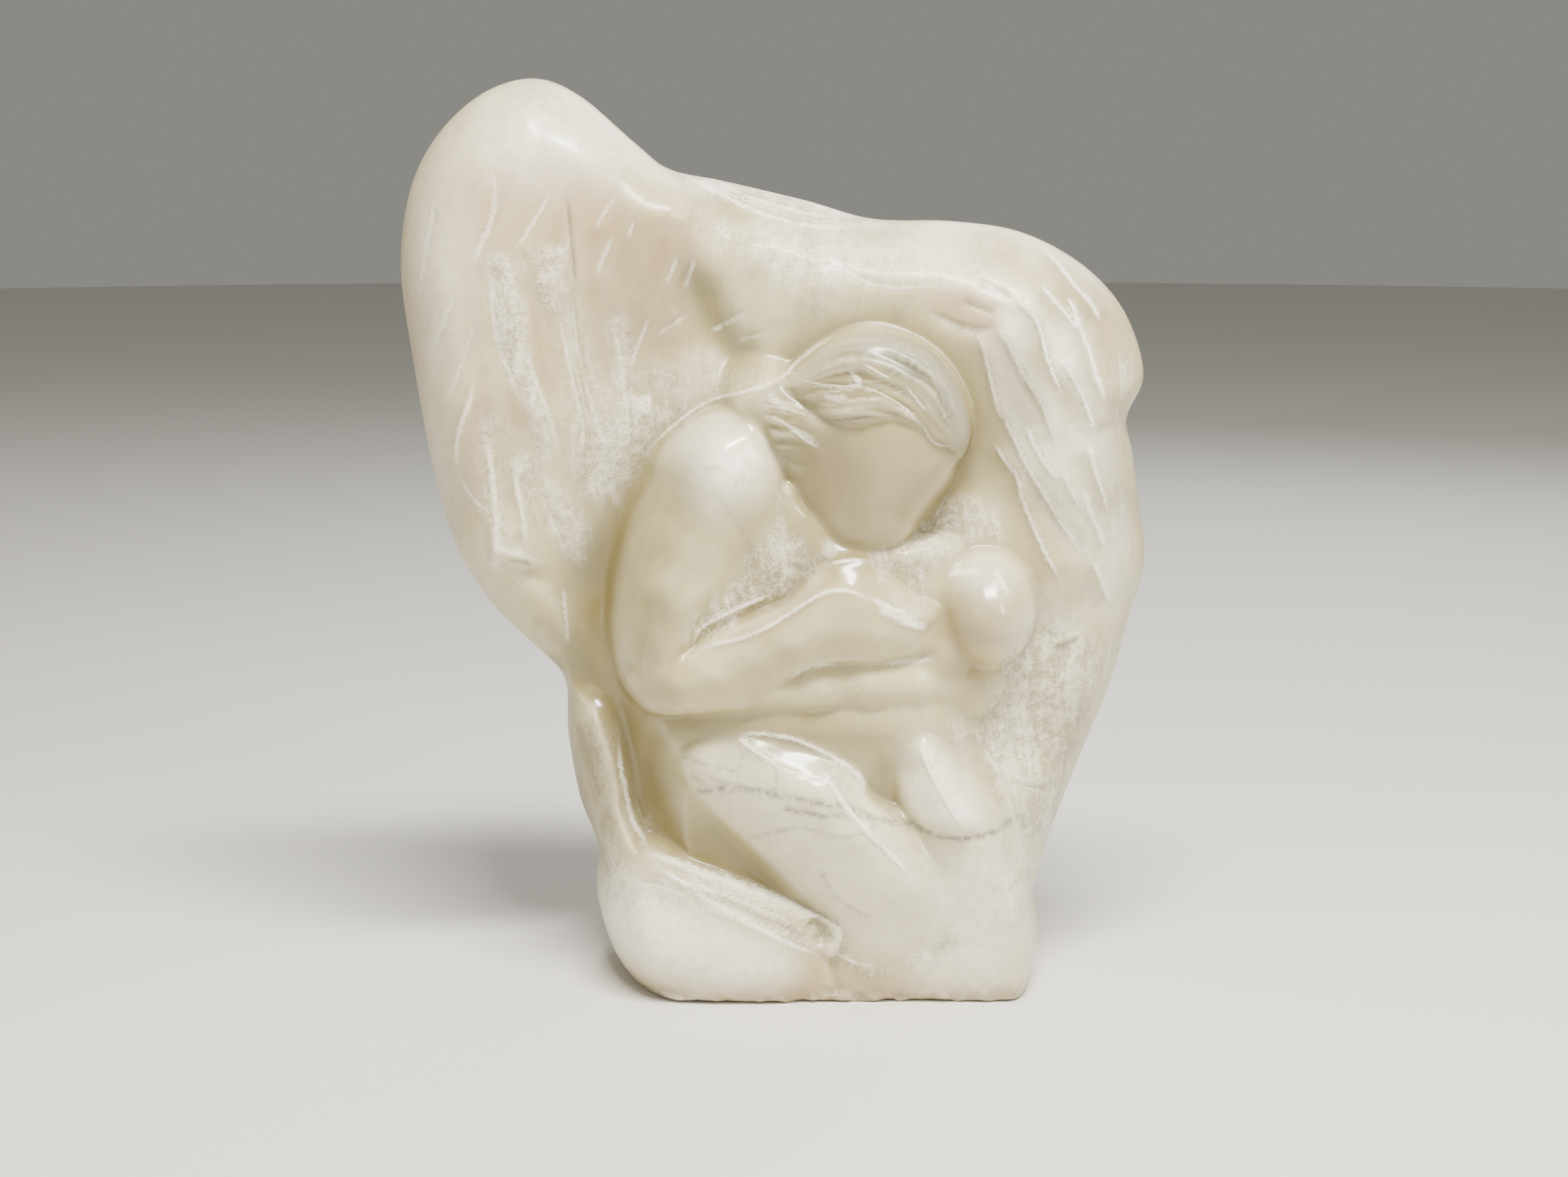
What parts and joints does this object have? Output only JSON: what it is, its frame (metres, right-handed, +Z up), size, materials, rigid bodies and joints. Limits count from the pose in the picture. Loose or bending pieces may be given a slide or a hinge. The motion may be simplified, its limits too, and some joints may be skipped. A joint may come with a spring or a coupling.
{
  "type": "madonna and child statue",
  "caption": "Tabletop carving in translucent stone of a seated mother with her head bowed over a child, both set in the hollow of the rounded block they are cut from; it stands on a flat base.",
  "frame": {"origin": "bottom centre of the block, on the plane of its flat underside", "axes": "+Z up, the carved face looks along -Y, the tall hood of stone stands at -X"},
  "size_m": [0.314, 0.1302, 0.3792],
  "materials": {
    "alabaster": "creamy white translucent alabaster, figures polished to a soft gloss, ground around them left frosted and tooled"
  },
  "bodies": {
    "root": {"madonna_and_child": "alabaster"}
  },
  "joints": []
}
